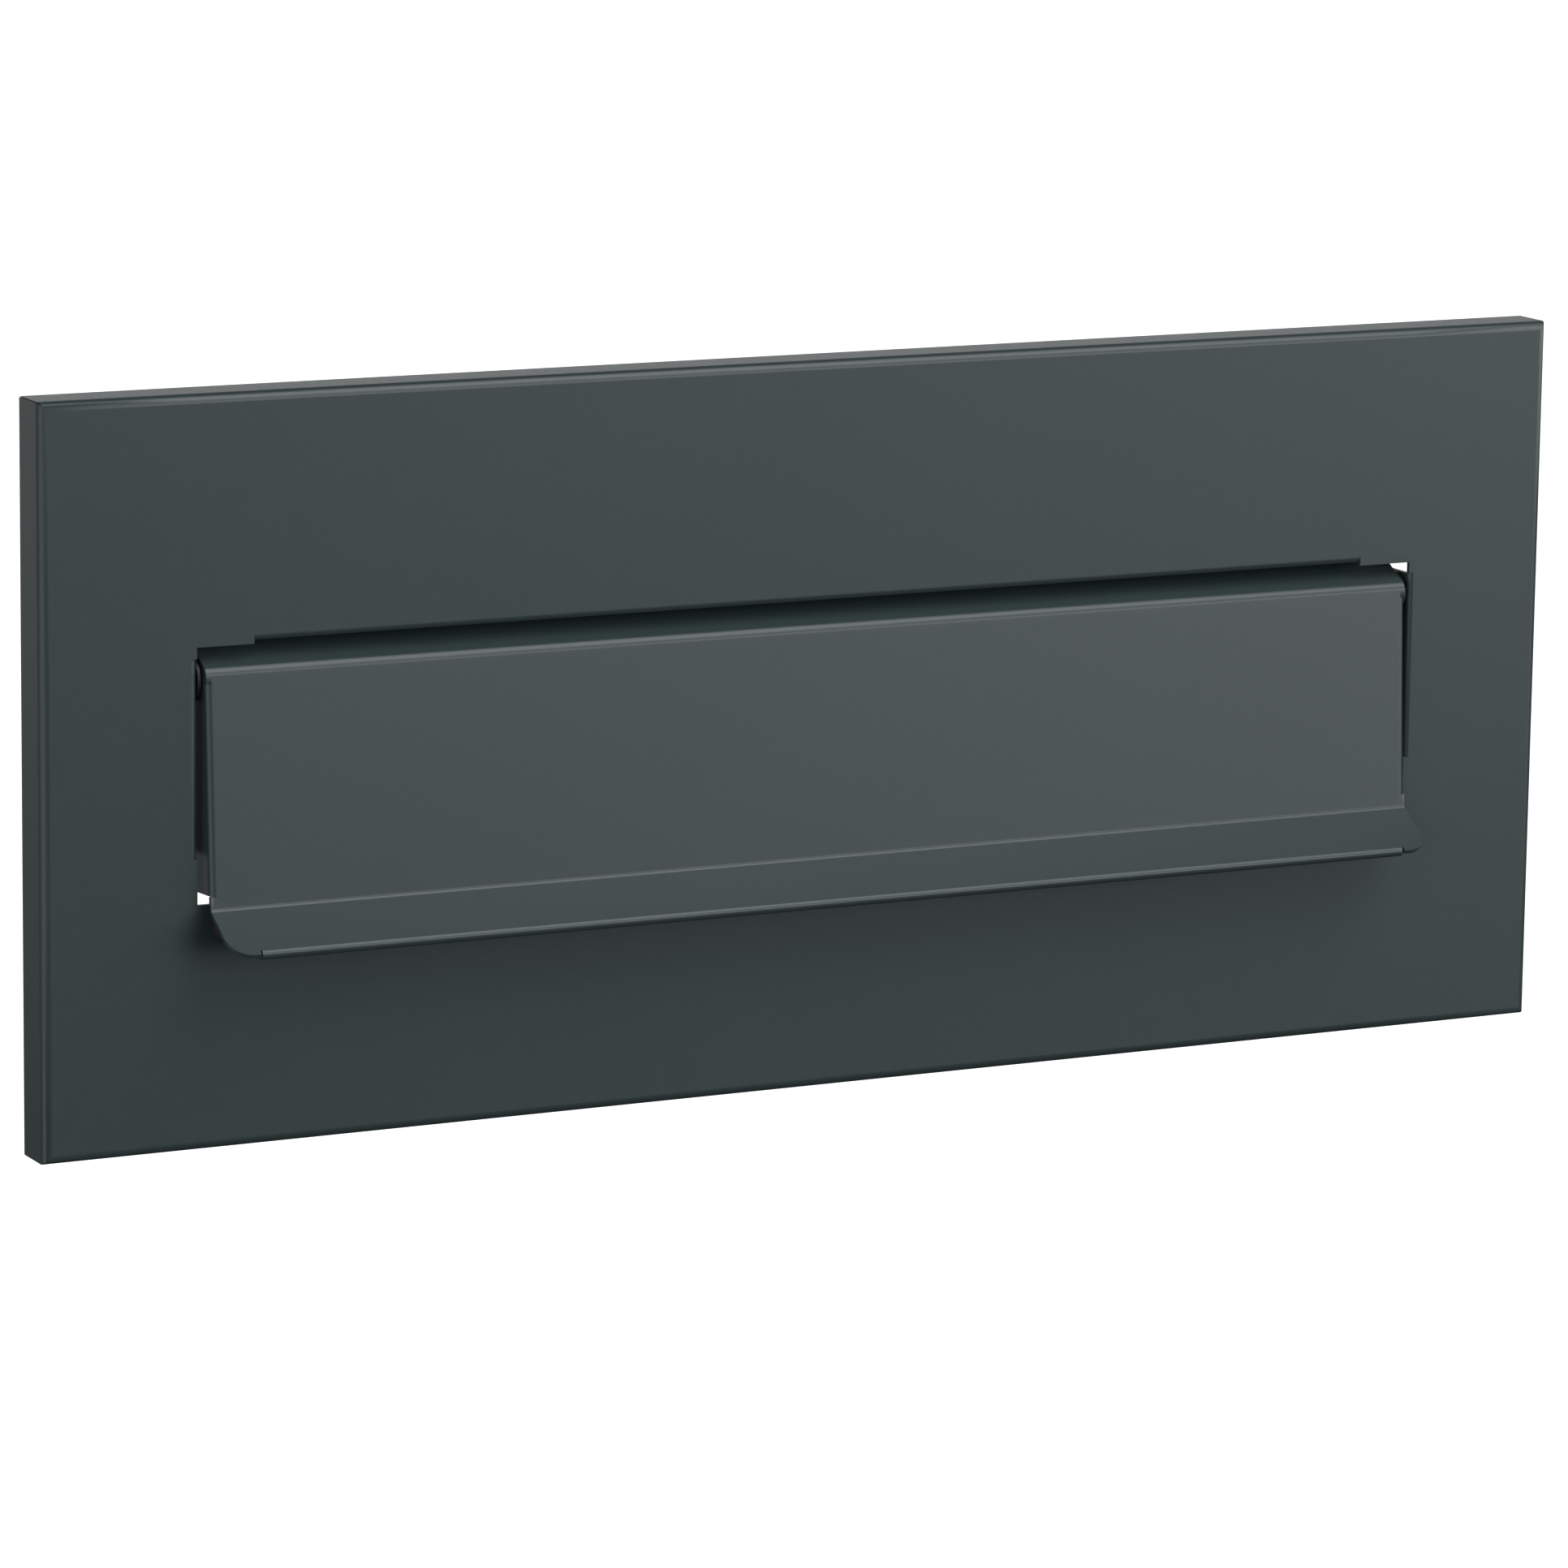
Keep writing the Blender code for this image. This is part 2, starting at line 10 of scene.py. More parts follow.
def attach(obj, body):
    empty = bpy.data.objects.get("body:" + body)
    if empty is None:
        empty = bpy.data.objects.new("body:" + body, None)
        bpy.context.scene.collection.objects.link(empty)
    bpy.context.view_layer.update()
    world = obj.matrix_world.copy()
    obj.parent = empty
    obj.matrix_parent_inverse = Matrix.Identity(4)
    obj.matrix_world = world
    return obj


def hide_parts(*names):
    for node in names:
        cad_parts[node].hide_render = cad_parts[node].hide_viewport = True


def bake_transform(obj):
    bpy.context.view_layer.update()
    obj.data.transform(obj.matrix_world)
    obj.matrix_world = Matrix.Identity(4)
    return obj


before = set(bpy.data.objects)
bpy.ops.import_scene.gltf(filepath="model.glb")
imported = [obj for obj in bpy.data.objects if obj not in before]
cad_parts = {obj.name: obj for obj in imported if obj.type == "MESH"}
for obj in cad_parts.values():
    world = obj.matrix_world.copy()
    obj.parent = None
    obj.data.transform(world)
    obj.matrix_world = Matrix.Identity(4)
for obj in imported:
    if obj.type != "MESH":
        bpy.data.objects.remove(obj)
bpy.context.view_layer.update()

MM = 0.001
LEFT_RIGHT = (("left", -1), ("right", 1))
RIGHT = Vector((1, 0, 0))
BACK = Vector((0, 1, 0))
UP = Vector((0, 0, 1))

# Sheet metal
SHEET = 1.0 * MM
CUT_EDGE = 0.035 * MM  # rounding that deburring and paint leave on a cut edge
BEND_STEPS = 10
PANEL_WIDTH = 340 * MM
PANEL_HEIGHT = 150 * MM
PANEL_DEPTH = 10.5 * MM
TRAY_BEND = 1.9 * MM
FLANGE_BEND = 1.2 * MM
SEAM = 0.25 * MM
SEAM_START = math.radians(40)  # the tray's corners are closed up to this share of the bend

OPENING_TOP = 26.0 * MM
EAR_TOP = 25.4 * MM
OPENING_BOTTOM = -25.7 * MM
TAB_FACE = 137.55 * MM
STRIP_FACE = 137.4 * MM
TAB_TOP = 23.0 * MM
TAB_BOTTOM = -16.4 * MM
STRIP_BOTTOM = -23.1 * MM
FLANGE_END = 125.4 * MM
FLANGE_DEPTH = 10.0 * MM
SLIT = 0.08 * MM  # relief cut beside a fold, too narrow for light to show through
TAB_BORE_RADIUS = 3.2 * MM
THROUGH = 300 * MM  # drills both sides of the plate at once

PIVOT = Vector((0, -5.5 * MM, 18.5 * MM))
ROD_RADIUS = 2.0 * MM
BORE_RADIUS = 2.3 * MM

# The flap in its own frame: the hinge line is the origin and the face is upright
REST_TILT = math.radians(2.86)
FLAP_HALF = 136.05 * MM
FACE_Y = -5.95 * MM
TOP_CREASE = 2.04 * MM
BOTTOM_CREASE = -45.25 * MM
CAP_SLOPE = math.radians(32.9)
CAP_LENGTH = 8.6 * MM
LIP_SLOPE = math.radians(35.1)
LIP_LENGTH = 12.9 * MM
LIP_CORNER = 5.0 * MM
HEM_HALF = 129.5 * MM
HEM_NOTCH = 0.35 * MM  # relief cut at each end of the hem's fold
HEM_HEIGHT = 2.2 * MM
HEM_LENGTH = 5.0 * MM
CHEEK_TOP = -0.5 * MM
CHEEK_BOTTOM = -42.4 * MM
CHEEK_DEPTH = 10.0 * MM
EAR_START = 1.6 * MM
EAR_HEIGHT = 4.4 * MM
EAR_GAP = 0.3 * MM
CHEEK_BEND = 1.2 * MM
CAP_BEND = 2.1 * MM
LIP_BEND = 1.0 * MM
HEM_BEND = 1.09 * MM

# Torsion springs
WIRE = 0.4 * MM
COIL_RADIUS = 2.9 * MM
COIL_TURNS = 5
COIL_PITCH = 1.0 * MM
COIL_INNER_X = 118.5 * MM
COIL_SIDES = 28
CAP_LEG = 3.0 * MM
CAP_LEG_LEAN = math.radians(6)
ANCHOR_LEG = 3.0 * MM
ANCHOR_BEND = 0.4 * MM
ANCHOR_RISE = 1.7 * MM
ANCHOR_HOLE = 0.8 * MM
ANCHOR_DRILL = 6 * MM

# Buffers
BUFFER_X = 131 * MM
BUFFER_Z = -30.2 * MM

# Studs and nuts
STUD_X = 156 * MM
STUD_Z = 61 * MM
STUD_RADIUS = 2.45 * MM
STUD_END = 14 * MM
FOOT_RADIUS = 3.4 * MM
FOOT_THICKNESS = 0.8 * MM
WELD_GAP = 0.3 * MM
THREAD_PITCH = 0.8 * MM
THREAD_DEPTH = 0.42 * MM
FIXING_BORE = 2.75 * MM
WASHER_RADIUS = 5.0 * MM
WASHER_FRONT = 2.3 * MM
WASHER_BACK = 3.3 * MM
NUT_MIDDLE = 5.6 * MM
NUT_TURNS = (13, 47, 31, 5)  # degrees, so that no two nuts sit alike

# Camera, in panel widths and in the pixels of the full-size image
VIEW_AROUND = math.radians(26.85)
VIEW_ABOVE = math.radians(10.89)
VIEW_ROLL = math.radians(0.74)
VIEW_DISTANCE = 4.377
VIEW_AIM = (-0.0279, -0.0327)
FOCAL_PIXELS = 9042
IMAGE_PIXELS = 1932
SENSOR_WIDTH = 36

# Floor
FLOOR_HALF = 40
FLOOR_HEIGHT = -0.45


def new_object(name, bm):
    mesh = bpy.data.meshes.new(name)
    bm.to_mesh(mesh)
    bm.free()
    obj = bpy.data.objects.new(name, mesh)
    bpy.context.scene.collection.objects.link(obj)
    return obj


def settle(obj):
    """Replaces an object's mesh with the one that its modifiers make."""
    graph = bpy.context.evaluated_depsgraph_get()
    mesh = bpy.data.meshes.new_from_object(obj.evaluated_get(graph))
    obj.modifiers.clear()
    obj.data = mesh


def smooth(obj, angle):
    """Smooth shading with flat faces kept flat, and edges above the angle kept sharp."""
    obj.data.shade_smooth()
    obj.data.set_sharp_from_angle(angle=math.radians(angle))
    weighted = obj.modifiers.new("normals", "WEIGHTED_NORMAL")
    weighted.keep_sharp = True
    weighted.weight = 100
    settle(obj)


def ease_edges(obj, width, segments=2):
    bevel = obj.modifiers.new("edges", "BEVEL")
    bevel.limit_method = "ANGLE"
    bevel.angle_limit = math.radians(50)
    bevel.width = width
    bevel.segments = segments
    bevel.use_clamp_overlap = False
    settle(obj)


def drill(obj, radius, length, middle, axis, sides=40):
    """Cuts a round hole along an axis letter."""
    turn = {"X": Matrix.Rotation(math.pi / 2, 4, "Y"), "Z": Matrix.Identity(4)}[axis]
    bm = bmesh.new()
    bmesh.ops.create_cone(
        bm, cap_ends=True, segments=sides, radius1=radius, radius2=radius, depth=length,
        matrix=Matrix.Translation(middle) @ turn,
    )
    cutter = new_object("cutter", bm)
    hole = obj.modifiers.new("hole", "BOOLEAN")
    hole.operation = "DIFFERENCE"
    hole.solver = "EXACT"
    hole.object = cutter
    settle(obj)
    bpy.data.objects.remove(cutter)


# ---------------------------------------------------------------- folded sheet


class Sheet:
    """A folded sheet as quads of named corners on its visible side."""

    def __init__(self):
        self.spots = {}  # name: (point on the visible side, way out of the metal)
        self.quads = []

    def quad(self, *names):
        self.quads.append(names)

    def weave(self, row_a, row_b):
        for a, b, c, d in zip(row_a, row_a[1:], row_b[1:], row_b):
            self.quad(a, b, c, d)

    def fold(self, tag, base, away, radius, depths, mitre=None):
        """Bends a strip back from a row of corners, then runs it straight to each depth.

        mitre gives the outward direction at each end of a strip whose neighbour is
        folded too; there the ends are cut at 45 degrees and part at the seam."""
        arc = [math.pi / 2 * k / BEND_STEPS for k in range(1, BEND_STEPS + 1)]
        steps = [(radius * math.sin(a), radius * (1 - math.cos(a)), a) for a in arc]
        steps += [(radius, depth, math.pi / 2) for depth in depths]
        before = base
        for k, (reach, back, angle) in enumerate(steps):
            row = []
            for index, start in enumerate(base):
                spot = self.spots[start][0] + away * reach + BACK * back
                facing = away * math.sin(angle) - BACK * math.cos(angle)
                name = (tag, index, k)
                if mitre and index in (0, len(base) - 1):
                    end = mitre[0 if index == 0 else 1]
                    shared = angle <= SEAM_START
                    spot = spot + end * (reach - (0 if shared else SEAM / 2))
                    facing = facing + end * math.sin(angle)
                    if shared:
                        name = ("mitre", tuple(away + end), k)
                self.spots[name] = (spot, facing)
                row.append(name)
            self.weave(before, row)
            before = row
        return before

    def solid(self, name):
        bm = bmesh.new()
        front = {}
        back = {}
        for key, (spot, facing) in self.spots.items():
            front[key] = bm.verts.new(spot)
            back[key] = bm.verts.new(spot - facing * SHEET)
        seen = {}
        for quad in self.quads:
            bm.faces.new([front[k] for k in quad])
            bm.faces.new([back[k] for k in reversed(quad)])
            for a, b in zip(quad, quad[1:] + quad[:1]):
                seen.setdefault(frozenset((a, b)), []).append((a, b))
        for sides in seen.values():
            if len(sides) == 1:
                a, b = sides[0]
                bm.faces.new((front[b], front[a], back[a], back[b]))
        bmesh.ops.delete(bm, geom=[v for v in bm.verts if not v.link_faces], context="VERTS")
        bmesh.ops.recalc_face_normals(bm, faces=bm.faces)
        return new_object(name, bm)


def mirrored(values):
    return sorted(set(values) | {-v for v in values})


def panel_sheet():
    sheet = Sheet()
    flat_x = PANEL_WIDTH / 2 - TRAY_BEND
    flat_z = PANEL_HEIGHT / 2 - TRAY_BEND
    tab_x = TAB_FACE + FLANGE_BEND
    low = OPENING_BOTTOM - FLANGE_BEND
    high = OPENING_TOP + FLANGE_BEND
    columns = mirrored([FLANGE_END, FLANGE_END + SLIT, STRIP_FACE, TAB_FACE, tab_x, flat_x])
    rows = [-flat_z, low, OPENING_BOTTOM, STRIP_BOTTOM, TAB_BOTTOM - SLIT, TAB_BOTTOM]
    rows += [TAB_TOP, TAB_TOP + SLIT, EAR_TOP, high, flat_z]

    def is_flat(x, z):
        x = abs(x)
        if x < FLANGE_END + SLIT:
            return not low < z < high
        if TAB_BOTTOM - SLIT < z < TAB_TOP + SLIT:
            return x > tab_x
        if STRIP_BOTTOM < z < TAB_BOTTOM:
            return x > STRIP_FACE
        return x > TAB_FACE or not OPENING_BOTTOM < z < EAR_TOP

    for i, x in enumerate(columns):
        for j, z in enumerate(rows):
            sheet.spots["flat", i, j] = (Vector((x, -PANEL_DEPTH, z)), -BACK)
    for i in range(len(columns) - 1):
        for j in range(len(rows) - 1):
            if is_flat((columns[i] + columns[i + 1]) / 2, (rows[j] + rows[j + 1]) / 2):
                sheet.quad(
                    ("flat", i, j), ("flat", i + 1, j), ("flat", i + 1, j + 1), ("flat", i, j + 1)
                )

    def row_at(z, x0, x1):
        j = rows.index(z)
        return [("flat", i, j) for i, x in enumerate(columns) if x0 <= x <= x1]

    def column_at(x, z0, z1):
        i = columns.index(x)
        return [("flat", i, j) for j, z in enumerate(rows) if z0 <= z <= z1]

    for tag, z, away in (("top_return", flat_z, UP), ("bottom_return", -flat_z, -UP)):
        sheet.fold(
            tag, row_at(z, -flat_x, flat_x), away, TRAY_BEND, [PANEL_DEPTH], (-RIGHT, RIGHT)
        )
    for side, sign in LEFT_RIGHT:
        edge = column_at(sign * flat_x, -flat_z, flat_z)
        sheet.fold(side + "_return", edge, RIGHT * sign, TRAY_BEND, [PANEL_DEPTH], (-UP, UP))
        edge = column_at(sign * tab_x, TAB_BOTTOM, TAB_TOP)
        sheet.fold(side + "_tab", edge, RIGHT * -sign, FLANGE_BEND, [FLANGE_DEPTH])
    for tag, z, away in (("top_flange", high, -UP), ("bottom_flange", low, UP)):
        edge = row_at(z, -FLANGE_END, FLANGE_END)
        sheet.fold(tag, edge, away, FLANGE_BEND, [FLANGE_DEPTH])
    return sheet


def rounded_path(points, radii):
    """(point, facing) pairs along a folded section; facing is on the right of travel."""
    made = []
    for k, point in enumerate(points):
        if k in (0, len(points) - 1):
            along = (points[1] - points[0]) if k == 0 else (point - points[k - 1])
            along.normalize()
            made.append((point, Vector((along.y, -along.x))))
            continue
        before = (point - points[k - 1]).normalized()
        after = (points[k + 1] - point).normalized()
        turn = math.atan2(before.cross(after), before.dot(after))
        radius = radii[k - 1]
        side = math.copysign(1, turn)
        start = point - before * radius * math.tan(abs(turn) / 2)
        facing = Vector((before.y, -before.x))
        centre = start - facing * radius * side
        for step in range(BEND_STEPS + 1):
            spin = Matrix.Rotation(turn * step / BEND_STEPS, 2)
            here = spin @ facing
            made.append((centre + here * radius * side, here))
    return made


def flap_section():
    """The flap's side view as (y, z) points and facings, from the cap's edge to the hem's."""
    cap = Vector((math.cos(CAP_SLOPE), math.sin(CAP_SLOPE)))
    lip = Vector((-math.cos(LIP_SLOPE), -math.sin(LIP_SLOPE)))
    under = Vector((math.sin(LIP_SLOPE), -math.cos(LIP_SLOPE)))
    top = Vector((FACE_Y, TOP_CREASE))
    bottom = Vector((FACE_Y, BOTTOM_CREASE))
    nose = bottom + lip * LIP_LENGTH
    fold = nose + under * HEM_HEIGHT
    points = [top + cap * CAP_LENGTH, top, bottom, nose, fold, fold - lip * HEM_LENGTH]
    path = rounded_path(points, (CAP_BEND, LIP_BEND, HEM_BEND, HEM_BEND))
    face = BEND_STEPS + 2  # the first sample of the lip's bend
    heights = (CHEEK_TOP + SLIT, CHEEK_TOP, CHEEK_BOTTOM, CHEEK_BOTTOM - SLIT)
    extra = [(Vector((FACE_Y, z)), Vector((-1, 0))) for z in heights]
    return path[:face] + extra + path[face:], face


def flap_sheet():
    sheet = Sheet()
    path, face = flap_section()
    cheek_top, cheek_bottom = face + 1, face + 2
    lip_start = face + 4 + BEND_STEPS
    hem_start = lip_start + 1
    corner_x = FLAP_HALF - LIP_CORNER
    bend_x = FLAP_HALF - CHEEK_BEND
    arc = [corner_x + LIP_CORNER * math.sin(math.radians(a)) for a in range(0, 90, 6)]
    columns = mirrored([HEM_HALF, HEM_HALF + HEM_NOTCH, bend_x, FLAP_HALF] + arc)

    def corner_share(x):
        """How much of the lip's length is left at x, once its corner is rounded."""
        across = max(0, abs(x) - corner_x)
        cut = LIP_CORNER - math.sqrt(max(0, LIP_CORNER**2 - across**2))
        return 1 - cut / (LIP_LENGTH - LIP_BEND)

    start_point = path[lip_start][0]
    hem_point, lip_facing = path[hem_start]
    edge_point = start_point + (hem_point - start_point).normalized() * (
        (hem_point - start_point).length + HEM_BEND
    )
    for i, x in enumerate(columns):
        share = corner_share(x)
        for j, (point, facing) in enumerate(path):
            if j == hem_start:
                point = start_point.lerp(hem_point, share)
            sheet.spots["main", i, j] = (Vector((x, *point)), Vector((0, *facing)))
        edge = start_point.lerp(edge_point, share)
        sheet.spots["edge", i] = (Vector((x, *edge)), Vector((0, *lip_facing)))

    for i in range(len(columns) - 1):
        x = abs(columns[i] + columns[i + 1]) / 2
        for j in range(len(path) - 1):
            if j >= hem_start and x > HEM_HALF:
                continue
            if face <= j < face + 3 and x > bend_x:
                continue
            sheet.quad(
                ("main", i, j), ("main", i, j + 1), ("main", i + 1, j + 1), ("main", i + 1, j)
            )
        if x > HEM_HALF + HEM_NOTCH:
            sheet.quad(
                ("main", i, hem_start), ("edge", i), ("edge", i + 1), ("main", i + 1, hem_start)
            )

    ear = [EAR_START + k * (CHEEK_DEPTH - EAR_START) / 6 for k in range(7)]
    for side, sign in LEFT_RIGHT:
        i = columns.index(sign * bend_x)
        base = [("main", i, cheek_top), ("main", i, cheek_bottom)]
        sheet.fold(side + "_cheek", base, RIGHT * sign, CHEEK_BEND, ear)
        lower = [(side + "_cheek", 0, BEND_STEPS + k) for k in range(len(ear))]
        upper = []
        for key, depth in zip(lower, ear):
            spot, facing = sheet.spots[key]
            under_cap = TOP_CREASE + depth * math.tan(CAP_SLOPE)
            under_cap -= (SHEET + EAR_GAP) / math.cos(CAP_SLOPE)
            height = min(EAR_HEIGHT, under_cap)
            upper.append((side + "_ear", depth))
            sheet.spots[upper[-1]] = (Vector((spot.x, spot.y, height)), facing)
        sheet.weave(upper, lower)
    return sheet


def flap_frame():
    return Matrix.Translation(PIVOT) @ Matrix.Rotation(-REST_TILT, 4, "X")


def make_sheet_metal(paint):
    panel = panel_sheet().solid("painted_panel")
    drill(panel, TAB_BORE_RADIUS, THROUGH, PIVOT, "X")
    for _, sign in LEFT_RIGHT:
        hole = Vector((sign * COIL_INNER_X, PIVOT.y + COIL_RADIUS, OPENING_TOP))
        drill(panel, ANCHOR_HOLE, ANCHOR_DRILL, hole, "Z", 16)
    flap = flap_sheet().solid("painted_flap")
    drill(flap, BORE_RADIUS, THROUGH, Vector(), "X")
    flap.data.transform(flap_frame())
    for obj, node, body in ((panel, "front_panel", "panel"), (flap, "flap", "flap")):
        ease_edges(obj, CUT_EDGE)
        smooth(obj, 50)
        obj.data.materials.append(paint)
        finish_piece(obj, body, "powder_coat", node)


def finish_piece(obj, body, slot, *nodes):
    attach(obj, body)
    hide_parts(*nodes)


# ---------------------------------------------------------------- turned hardware


def lathe(name, profile, sides, closed):
    """A solid of revolution about Y from (radius, y) points; closed means a ring."""
    bm = bmesh.new()
    loops = []
    for radius, y in profile:
        if radius < 1e-9:
            loops.append([bm.verts.new((0, y, 0))] * sides)
            continue
        loops.append(
            [
                bm.verts.new((radius * math.cos(a), y, radius * math.sin(a)))
                for a in (math.tau * k / sides for k in range(sides))
            ]
        )
    pairs = list(zip(loops, loops[1:])) + ([(loops[-1], loops[0])] if closed else [])
    for low, high in pairs:
        for k in range(sides):
            m = (k + 1) % sides
            corners = [low[k], low[m], high[m], high[k]]
            unique = [v for n, v in enumerate(corners) if v not in corners[:n]]
            bm.faces.new(unique)
    bmesh.ops.recalc_face_normals(bm, faces=bm.faces)
    return new_object(name, bm)


def soften(profile, radii, steps=3):
    """Rounds the listed corners of a (radius, y) profile."""
    made = []
    count = len(profile)
    for k, (r, y) in enumerate(profile):
        size = radii.get(k, 0)
        if not size:
            made.append((r, y))
            continue
        here = Vector((r, y))
        before = (Vector(profile[k - 1]) - here).normalized() * size
        after = (Vector(profile[(k + 1) % count]) - here).normalized() * size
        for n in range(steps + 1):
            t = n / steps
            spot = here + before * (1 - t) ** 2 + after * t**2
            made.append((spot.x, spot.y))
    return made


def side_on(obj, sign, middle):
    """Turns a piece made along +Y to lie along X, pointing left or right."""
    obj.data.transform(Matrix.Translation(middle) @ Matrix.Rotation(-sign * math.pi / 2, 4, "Z"))


def make_rod(steel):
    half = 144.15 * MM
    groove = 0.15 * MM
    profile = [(0, -half), (1.5 * MM, -half), (ROD_RADIUS, -half + 0.5 * MM)]
    for start in (-half + 1.6 * MM, half - 2.2 * MM):
        profile += [
            (ROD_RADIUS, start),
            (ROD_RADIUS - groove, start + groove),
            (ROD_RADIUS - groove, start + 3 * groove),
            (ROD_RADIUS, start + 4 * groove),
        ]
    profile += [(ROD_RADIUS, half - 0.5 * MM), (1.5 * MM, half), (0, half)]
    rod = lathe("rod", profile, 48, False)
    side_on(rod, 1, PIVOT)
    smooth(rod, 30)
    rod.data.materials.append(steel)
    finish_piece(rod, "flap", "stainless_steel", "hinge_rod")


def make_hinge_hardware(nylon, zinc):
    """Bushes, spacers and clips; profiles are (radius, distance from the plate's middle)."""
    for side, sign in LEFT_RIGHT:
        bush = lathe(
            "bush_" + side + "_moulded",
            soften(
                [
                    (BORE_RADIUS, 136.35 * MM),
                    (4.5 * MM, 136.35 * MM),
                    (4.5 * MM, 137.25 * MM),
                    (2.95 * MM, 137.25 * MM),
                    (2.95 * MM, 139.55 * MM),
                    (BORE_RADIUS, 139.55 * MM),
                ],
                {0: 0.1 * MM, 1: 0.25 * MM, 2: 0.25 * MM, 4: 0.3 * MM, 5: 0.1 * MM},
            ),
            48,
            True,
        )
        spacer = lathe(
            "spacer_" + side,
            soften(
                [
                    (BORE_RADIUS, 139.85 * MM),
                    (3.6 * MM, 139.85 * MM),
                    (3.6 * MM, 140.95 * MM),
                    (BORE_RADIUS, 140.95 * MM),
                ],
                {k: 0.2 * MM for k in range(4)},
            ),
            48,
            True,
        )
        clip = make_clip("push_clip_" + side)
        for obj, body, slot, look, node in (
            (bush, "panel", "nylon", nylon, "bush_" + side),
            (spacer, "flap", "nylon", nylon, "spacer_washer_" + side),
            (clip, "flap", "zinc_plate", zinc, "retaining_clip_" + side),
        ):
            side_on(obj, sign, PIVOT)
            smooth(obj, 35)
            obj.data.materials.append(look)
            finish_piece(obj, body, slot, node)


def join_round(name, bm, loops):
    """Joins a full circle of section loops into one ring."""
    for a, b in zip(loops, loops[1:] + loops[:1]):
        for n in range(len(a)):
            m = (n + 1) % len(a)
            bm.faces.new((a[n], a[m], b[m], b[n]))
    bmesh.ops.recalc_face_normals(bm, faces=bm.faces)
    return new_object(name, bm)


def make_clip(name):
    """A dished push-on fastener whose inner cone is slit into six teeth."""
    sides = 72
    start, rim, end = 141.25 * MM, 141.75 * MM, 142.85 * MM
    bm = bmesh.new()
    loops = []
    for k in range(sides):
        angle = math.tau * k / sides
        slit = k % 12 in (0, 1)
        lift = 0.55 if slit else 1.0  # the cone is cut back between teeth
        bore = BORE_RADIUS + (0.55 * MM if slit else 0)
        inner_end = rim + (end - rim) * lift
        ring = [
            (bore, start + 0.25 * MM + (inner_end - end) * 0.2),
            (3.1 * MM, start),
            (3.6 * MM, start + 0.05 * MM),
            (3.6 * MM, rim - 0.05 * MM),
            (3.45 * MM, rim),
            (bore + 0.9 * MM * lift + 0.1 * MM, rim + 0.15 * MM),
            (bore + 0.3 * MM, inner_end),
            (bore, inner_end),
        ]
        loops.append(
            [bm.verts.new((r * math.cos(angle), y, r * math.sin(angle))) for r, y in ring]
        )
    return join_round(name, bm, loops)


def make_buffers(rubber):
    front = -PANEL_DEPTH - 0.15 * MM
    top = front - 1.6 * MM
    profile = soften(
        [(0, top + 0.25 * MM), (1.2 * MM, top), (2.9 * MM, top), (3.5 * MM, front), (0, front)],
        {1: 0.5 * MM, 2: 0.6 * MM, 3: 0.1 * MM},
        4,
    )
    for side, sign in LEFT_RIGHT:
        pad = lathe("buffer_" + side, profile, 48, False)
        pad.data.transform(Matrix.Translation((sign * BUFFER_X, 0, BUFFER_Z)))
        smooth(pad, 40)
        pad.data.materials.append(rubber)
        finish_piece(pad, "panel", "rubber", "rubber_buffer_" + side)


def spring_route(sign):
    """The wire's centre line in the world: cap leg, coil, and anchored leg."""
    wound = math.radians(90) + CAP_SLOPE - REST_TILT
    outer_x = COIL_INNER_X + COIL_TURNS * COIL_PITCH
    lean = wound - math.radians(90) + CAP_LEG_LEAN
    start = Vector((outer_x, COIL_RADIUS * math.cos(wound), COIL_RADIUS * math.sin(wound)))
    leg = Vector((0, math.cos(lean), math.sin(lean)))
    points = [start + leg * CAP_LEG * t for t in (1.0, 0.66, 0.33)]
    steps = COIL_TURNS * COIL_SIDES
    last = math.tau * COIL_TURNS
    for k in range(steps + 1):
        angle = wound + (last - wound) * k / steps
        x = outer_x - (outer_x - COIL_INNER_X) * k / steps
        points.append(Vector((x, COIL_RADIUS * math.cos(angle), COIL_RADIUS * math.sin(angle))))
    top = OPENING_TOP - PIVOT.z + SHEET + ANCHOR_RISE
    for share in (0.33, 0.66):
        points.append(Vector((COIL_INNER_X, COIL_RADIUS, (top - ANCHOR_BEND) * share)))
    for k in range(5):
        a = math.pi / 2 * k / 4
        x = COIL_INNER_X - ANCHOR_BEND * (1 - math.cos(a))
        points.append(Vector((x, COIL_RADIUS, top - ANCHOR_BEND * (1 - math.sin(a)))))
    points.append(Vector((COIL_INNER_X - ANCHOR_LEG, COIL_RADIUS, top)))
    return [Vector((sign * p.x, p.y, p.z)) + PIVOT for p in points]


def tube(name, route, radius, sides):
    """A capped round tube along a route, carried along it without twist."""
    bm = bmesh.new()
    along = (route[1] - route[0]).normalized()
    across = along.orthogonal().normalized()
    rings = []
    for k, point in enumerate(route):
        ahead = route[min(k + 1, len(route) - 1)] - route[max(k - 1, 0)]
        ahead.normalize()
        across = along.rotation_difference(ahead) @ across
        along = ahead
        other = along.cross(across)
        rings.append(
            [
                bm.verts.new(point + (across * math.cos(a) + other * math.sin(a)) * radius)
                for a in (math.tau * n / sides for n in range(sides))
            ]
        )
    for a, b in zip(rings, rings[1:]):
        for n in range(sides):
            m = (n + 1) % sides
            bm.faces.new((a[n], a[m], b[m], b[n]))
    bm.faces.new(rings[0])
    bm.faces.new(rings[-1])
    bmesh.ops.recalc_face_normals(bm, faces=bm.faces)
    return new_object(name, bm)


